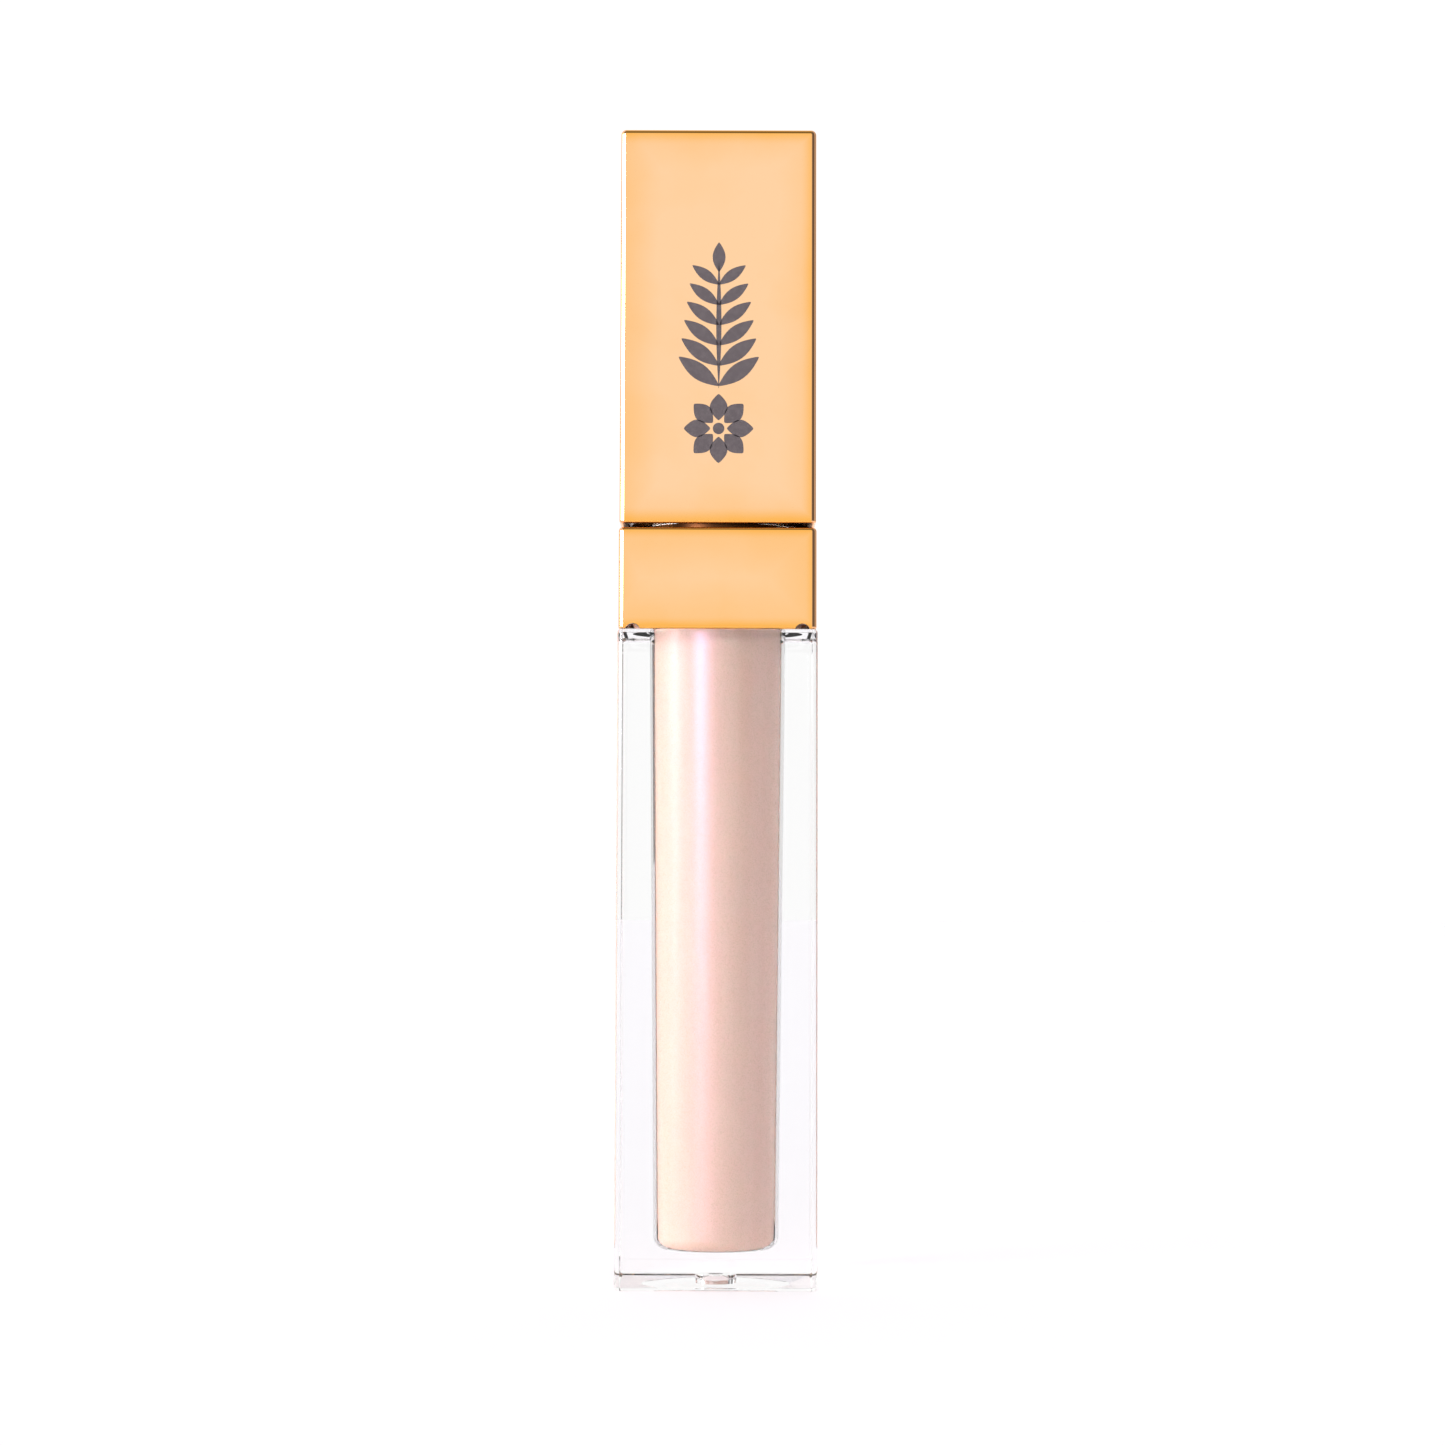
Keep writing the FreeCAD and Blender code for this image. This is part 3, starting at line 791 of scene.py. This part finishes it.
@dataclass
class Bottle:
    """The clear bottle with its wiper and its gloss, which wets the wall and ends in a shallow meniscus."""

    floor_radius: float = 5.906 * MM
    neck_radius: float = 6.5 * MM
    shoulder: float = 62.1 * MM
    corner: float = 1.2 * MM
    contact: float = 0.05 * MM
    packed_gap: float = 0.02 * MM
    dip: float = 0.5 * MM
    dip_rim: float = 1.5 * MM
    dip_rim_share: float = 0.7
    steps: int = 128
    wiped_level: float = 70.0 * MM

    def gloss(self) -> bpy.types.Object:
        """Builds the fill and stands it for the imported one.

        Returns:
            The gloss.
        """
        low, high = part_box("gloss_fill")
        foot = low.z - self.packed_gap - self.contact
        floor_radius = self.floor_radius + self.contact
        neck_radius = self.neck_radius + self.contact
        bm = turned(
            [
                (0.0, foot),
                (floor_radius, foot),
                (neck_radius, self.shoulder),
                (neck_radius, high.z),
                (neck_radius - self.dip_rim, high.z - self.dip * self.dip_rim_share),
                (0.0, high.z - self.dip),
            ],
            self.steps,
        )
        bmesh.ops.bevel(
            bm, geom=ring_edges(bm, foot, floor_radius), offset=self.corner, offset_type="OFFSET",
            affect="EDGES", segments=10, profile=0.5, material=-1,
        )
        piece = finished("gloss", bm, PearlGloss("pearl gloss"), 60.0)
        mounted(piece, Body.BOTTLE)
        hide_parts("gloss_fill")
        return piece

    def build(self) -> None:
        """Dresses the bottle and the wiper, and fills the chamber."""
        dress("bottle", ClearPlastic("clear plastic"))
        dress(
            "wiper_insert",
            MouldedPlastic(
                "soft wiper", colour=(0.84, 0.83, 0.80, 1.0), shade=(0.76, 0.74, 0.71, 1.0), depth=0.6,
                film_level=self.wiped_level,
            ),
        )
        self.gloss()


@dataclass
class Collar:
    """The square gold collar over the shoulder."""

    shadow_gap: float = 0.4 * MM
    middle: Colour = (0.98, 0.615, 0.325, 1.0)

    def build(self) -> None:
        """Dresses the collar; its flat top lies one shadow gap under the cap's foot."""
        low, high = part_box("shoulder_collar")
        cap_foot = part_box("outer_cap")[0].z
        # painted reflection at the gold's face edges and bevels, painted shade on the ring and inner faces
        dress(
            "shoulder_collar",
            MirrorGold(
                "gold collar", half_width=high.x, foot=low.z, top=cap_foot - self.shadow_gap,
                middle=self.middle, left=(2.6 * MM, 0.35), wide=(6.0 * MM, 0.42), narrow=(1.2 * MM, 0.7),
            ),
        )


@dataclass
class PrintedSprig:
    """The print on the cap's front: a round blossom of pointed petals under a stem with paired leaves."""

    centre_x: float = 0.05 * MM
    foot: float = 77.9 * MM
    height: float = 21.2 * MM
    leaf_pairs: int = 6
    leaf_length: float = 4.7 * MM
    leaf_width: float = 1.55 * MM
    leaf_tilt: float = 54.0
    first_leaves: float = 0.3 * MM
    bare_stem: float = 2.4 * MM
    taper: float = 0.4
    stem_width: float = 0.5 * MM
    blossom_radius: float = 3.3 * MM
    petals: int = 8
    petal_length: float = 2.5 * MM
    petal_width: float = 1.7 * MM
    eye_radius: float = 0.55 * MM
    gap: float = 0.5 * MM
    proud: float = 0.02 * MM
    sunk: float = 0.01 * MM

    def leaf(self, bm: bmesh.types.BMesh, root: Vector, tilt: float, length: float, width: float) -> None:
        """Adds one flat leaf, pointed at both ends.

        Args:
            bm: The mesh, with the print's plane as XY.
            root: The leaf's root.
            tilt: The turn of its midrib from upright, in radians.
            length: Its length.
            width: Its width.
        """
        disc = bmesh.ops.create_circle(bm, cap_ends=True, radius=0.5, segments=32)["verts"]
        for vert in disc:
            vert.co.x *= 1.0 - 0.6 * abs(2.0 * vert.co.y) ** 2
        place = Matrix.Translation(root) @ Matrix.Rotation(tilt, 4, "Z")
        place = place @ Matrix.Diagonal((width, length, 1.0, 1.0)) @ Matrix.Translation((0, 0.5, 0))
        bmesh.ops.transform(bm, matrix=place, verts=disc)

    def blossom(self, bm: bmesh.types.BMesh) -> None:
        """Adds the blossom's petals and its round eye.

        Args:
            bm: The mesh, with the print's plane as XY.
        """
        centre = Vector((0.0, self.blossom_radius, 0.0))
        for number in range(self.petals):
            turn = math.tau * number / self.petals
            reach = self.blossom_radius - self.petal_length
            root = centre + Matrix.Rotation(turn, 3, "Z") @ Vector((0, reach, 0))
            self.leaf(bm, root, turn, self.petal_length, self.petal_width)
        bmesh.ops.create_circle(
            bm, cap_ends=True, radius=self.eye_radius, segments=32, matrix=Matrix.Translation(centre),
        )

    def sprig(self, bm: bmesh.types.BMesh) -> None:
        """Adds the stem, its paired leaves and the leaf at its end.

        Args:
            bm: The mesh, with the print's plane as XY.
        """
        foot = 2.0 * self.blossom_radius + self.gap
        stem = self.height - foot
        self.leaf(bm, Vector((0, foot, 0)), 0.0, stem - self.leaf_length * 0.4, self.stem_width)
        end_leaf = self.leaf_length * 0.6
        self.leaf(bm, Vector((0, self.height - end_leaf, 0)), 0.0, end_leaf, self.leaf_width * 0.8)
        for pair in range(self.leaf_pairs):
            share = pair / self.leaf_pairs
            size = 1.0 - self.taper * share
            root = Vector((0, foot + self.first_leaves + share * (stem - self.bare_stem), 0))
            for side in (-1, 1):
                tilt = side * math.radians(self.leaf_tilt)
                self.leaf(bm, root, tilt, self.leaf_length * size, self.leaf_width * size)

    def build(self) -> bpy.types.Object:
        """Builds the print just proud of the cap's front face.

        Returns:
            The print.
        """
        low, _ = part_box("outer_cap")
        bm = bmesh.new()
        self.blossom(bm)
        self.sprig(bm)
        raised = bmesh.ops.extrude_face_region(bm, geom=bm.faces[:], use_keep_orig=True)["geom"]
        lifted = [item for item in raised if isinstance(item, bmesh.types.BMVert)]
        bmesh.ops.translate(bm, vec=(0, 0, self.proud + self.sunk), verts=lifted)
        upright = Matrix.Translation((self.centre_x, low.y + self.sunk, self.foot))
        bmesh.ops.transform(bm, matrix=upright @ Matrix.Rotation(math.radians(90), 4, "X"), verts=bm.verts)
        bmesh.ops.recalc_face_normals(bm, faces=bm.faces)
        piece = finished("cap_print", bm, PrintInk("print ink"))
        mounted(piece, Body.CAP)
        return piece


@dataclass
class Cap:
    """The gold cap with its print, the liner inside it and the sealing washer."""

    sprig: PrintedSprig = field(default_factory=PrintedSprig)

    def build(self) -> None:
        """Dresses the cap's mouldings and prints its front."""
        low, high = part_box("outer_cap")
        # painted reflection at the gold's face edges and bevels, painted shade on its inner faces
        dress("outer_cap", MirrorGold("gold cap", half_width=high.x, foot=low.z, top=high.z))
        # the liner's foot gets a painted shade
        dress("inner_cap", ShadedFootLiner("plated liner"))
        dress(
            "seal_washer",
            MouldedPlastic(
                "seal rubber", colour=(0.78, 0.77, 0.74, 1.0), shade=(0.70, 0.69, 0.66, 1.0), roughness=0.6,
            ),
        )
        self.sprig.build()


@dataclass
class Wand:
    """The wand: a slick stem, and a rubber paddle in a flocked coat with a pile of short fibres."""

    dipped_level: float = 58.0 * MM
    dipped_fade: float = 6.0 * MM
    fibre_count: int = 2600
    fibre_length: float = 0.28 * MM
    fibre_radius: float = 0.022 * MM
    fibre_lean: float = 0.35
    rounded_end: float = 1.5 * MM
    seed: int = 7

    def pile(self) -> bpy.types.Object:
        """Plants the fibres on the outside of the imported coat.

        Returns:
            The fibres.
        """
        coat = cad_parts["tip_flock"].data
        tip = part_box("tip_flock")[0].z + self.rounded_end
        outer = [
            face for face in coat.polygons
            if face.center.z < tip or face.normal.dot(Vector((*face.center.xy, 0)).normalized()) > 0.05
        ]
        chance = random.Random(self.seed)
        bm = bmesh.new()
        for face in chance.choices(outer, weights=[face.area for face in outer], k=self.fibre_count):
            shares = [chance.random() for _ in face.vertices]
            corners = [coat.vertices[index].co * share for index, share in zip(face.vertices, shares)]
            root = sum(corners, Vector()) / sum(shares)
            lean = Vector([chance.uniform(-self.fibre_lean, self.fibre_lean) for _ in range(3)])
            along = (face.normal + lean).normalized()
            length = self.fibre_length * chance.uniform(0.6, 1.1)
            place = Matrix.Translation(root + along * length * 0.4)
            bmesh.ops.create_cone(
                bm, cap_ends=False, segments=3, radius1=self.fibre_radius, radius2=self.fibre_radius * 0.3,
                depth=length, matrix=place @ along.to_track_quat("Z", "Y").to_matrix().to_4x4(),
            )
        piece = finished("flock_fibres", bm, Flock("flock pile"))
        mounted(piece, Body.CAP)
        return piece

    def build(self) -> None:
        """Dresses the stem and the paddle, and adds the pile."""
        dress(
            "wand_stem",
            MouldedPlastic(
                "wand plastic", roughness=0.25, depth=0.5, film_level=self.dipped_level,
                film_fade=self.dipped_fade,
            ),
        )
        dress("tip_core", MouldedPlastic("tip rubber", roughness=0.5))
        dress("tip_flock", Flock("flocked coat"))
        self.pile()


# ---------------------------------------------------------------- studio
@dataclass(frozen=True)
class Lamp:
    """A soft sun that shines from a bearing and a height, and isn't itself seen in polished faces."""

    name: str
    bearing: float
    height: float
    strength: float
    spread: float
    colour: tuple[float, float, float] = (1.0, 1.0, 1.0)
    diffuse: bool = True
    glossy: bool = False
    shadow: bool = True

    def build(self) -> bpy.types.Object:
        """Adds the lamp.

        Returns:
            The lamp's object.
        """
        data = bpy.data.lights.new(self.name, "SUN")
        data.energy = self.strength
        data.angle = math.radians(self.spread)
        data.color = self.colour
        data.use_shadow = self.shadow
        lamp = bpy.data.objects.new(self.name, data)
        turn, rise = math.radians(self.bearing), math.radians(self.height)
        towards = Vector((math.sin(turn) * math.cos(rise), -math.cos(turn) * math.cos(rise), math.sin(rise)))
        lamp.matrix_world = towards.to_track_quat("Z", "Y").to_matrix().to_4x4()
        lamp.visible_camera = False
        lamp.visible_transmission = False
        lamp.visible_diffuse = self.diffuse
        lamp.visible_glossy = self.glossy
        bpy.context.scene.collection.objects.link(lamp)
        LOG.info("%s: bearing %.0f, height %.0f", self.name, self.bearing, self.height)
        return lamp


@dataclass
class Studio:
    """Pale floor, soft surroundings, lamps and the camera; bearings run from the front towards +X."""

    bottle_face: float = 9.5 * MM
    camera_distance: float = 270.0 * MM
    camera_height: float = 36.1 * MM
    camera_across: float = 0.5 * MM
    pitch: float = 3.62
    roll: float = 0.16
    lens: float = 71.4
    floor_reach: float = 6.0
    room_level: float = 1.03
    panel_level: float = 5.0
    card_level: float = 0.16
    ceiling_level: float = 0.2
    zenith_level: float = 0.45
    lamps: tuple[Lamp, ...] = (
        Lamp(
            "key", bearing=-74.0, height=34.0, strength=2.5, spread=40.0, colour=(0.96, 0.91, 1.0),
            shadow=False,
        ),
        Lamp("overhead", bearing=0.0, height=88.0, strength=0.78, spread=90.0),
        Lamp(
            "pearl light", bearing=-29.0, height=10.0, strength=1.35, spread=15.0, colour=(1.0, 0.88, 1.0),
            diffuse=False, glossy=True, shadow=False,
        ),
        Lamp(
            "side glint", bearing=-80.0, height=12.0, strength=0.8, spread=13.0, colour=(0.95, 1.0, 0.85),
            diffuse=False, glossy=True, shadow=False,
        ),
    )

    def floor(self) -> None:
        """Lays the floor."""
        bm = bmesh.new()
        bmesh.ops.create_grid(bm, x_segments=1, y_segments=1, size=self.floor_reach)
        finished("floor", bm, PaleFloor("pale floor"))

    def band(self, tree: Tree, angle: Socket, start: float, end: float, soft: float) -> Socket:
        """A soft band of an angle.

        Args:
            tree: The world's tree.
            angle: The angle's socket, in degrees.
            start: Where the band starts.
            end: Where it ends.
            soft: How wide its soft borders are.

        Returns:
            A mask of 1 inside the band.
        """
        rising = tree.ramp(angle, start - soft, start + soft)
        falling = tree.ramp(angle, end - soft, end + soft, (1.0, 0.0))
        return tree.math("MULTIPLY", rising, falling)

    def surroundings(self) -> None:
        """Builds the room: pale all round, with a bright panel left, dark cards right and a dim ceiling.

        Polished faces mirror the dim ceiling only towards the front, so that the cap's flat top stays golden.
        """
        world = bpy.data.worlds.new("studio")
        bpy.context.scene.world = world
        world.use_nodes = True
        world.node_tree.nodes.clear()
        tree = Tree(world.node_tree)
        split = tree.add("SeparateXYZ")
        tree.feed(split, 0, tree.add("TexCoord").outputs["Generated"])
        back = tree.math("MULTIPLY", split.outputs[1], -1.0)
        bearing = tree.math("DEGREES", tree.math("ARCTAN2", split.outputs[0], back))
        height = tree.math("DEGREES", tree.math("ARCSINE", split.outputs[2]))
        panel = tree.math(
            "MULTIPLY", self.band(tree, bearing, -74.0, -23.0, 5.0), self.band(tree, height, 4.0, 24.0, 1.5),
        )
        card = tree.math(
            "ADD", self.band(tree, bearing, 18.0, 82.0, 6.0), self.band(tree, bearing, 98.0, 124.0, 6.0),
        )
        level = tree.mix(panel, grey(self.room_level), grey(self.panel_level))
        level = tree.mix(card, level, grey(self.card_level))
        ray = tree.add("LightPath")
        front = self.band(tree, bearing, -70.0, 70.0, 15.0)
        open_room = tree.math("SUBTRACT", ray.outputs["Is Glossy Ray"], front)
        dim = tree.math("SUBTRACT", 1.0, tree.math("MAXIMUM", open_room, 0.0))
        ceiling = tree.math("MULTIPLY", tree.ramp(height, 32.0, 42.0), dim)
        level = tree.mix(ceiling, level, grey(self.ceiling_level))
        level = tree.mix(tree.ramp(height, 68.0, 80.0), level, grey(self.zenith_level))
        seen = tree.mix(ray.outputs["Is Camera Ray"], level, grey(self.room_level))
        glow = tree.add("Background")
        tree.feed(glow, "Color", seen)
        output = tree.add("OutputWorld")
        tree.feed(output, "Surface", glow.outputs[0])

    def camera(self) -> None:
        """Places the camera in front of the tube."""
        data = bpy.data.cameras.new("camera")
        data.lens = self.lens
        data.sensor_width = 36.0
        data.clip_start = 0.01
        data.clip_end = 20.0
        eye = bpy.data.objects.new("camera", data)
        back = self.bottle_face + self.camera_distance
        place = Matrix.Translation((self.camera_across, -back, self.camera_height))
        place = place @ Matrix.Rotation(math.radians(90.0 + self.pitch), 4, "X")
        eye.matrix_world = place @ Matrix.Rotation(math.radians(self.roll), 4, "Z")
        bpy.context.scene.collection.objects.link(eye)
        bpy.context.scene.camera = eye

    def build(self) -> None:
        """Builds the whole studio."""
        self.floor()
        self.surroundings()
        for lamp in self.lamps:
            lamp.build()
        self.camera()
        bpy.context.scene.view_settings.view_transform = "Standard"


def main() -> None:
    """Builds the sub-assemblies in order, then the studio round them."""
    logging.basicConfig(level=logging.INFO, format="%(name)s: %(message)s")
    for part in (Bottle(), Collar(), Cap(), Wand(), Studio()):
        part.build()
        LOG.info("%s built", type(part).__name__)


if __name__ == "__main__":
    main()
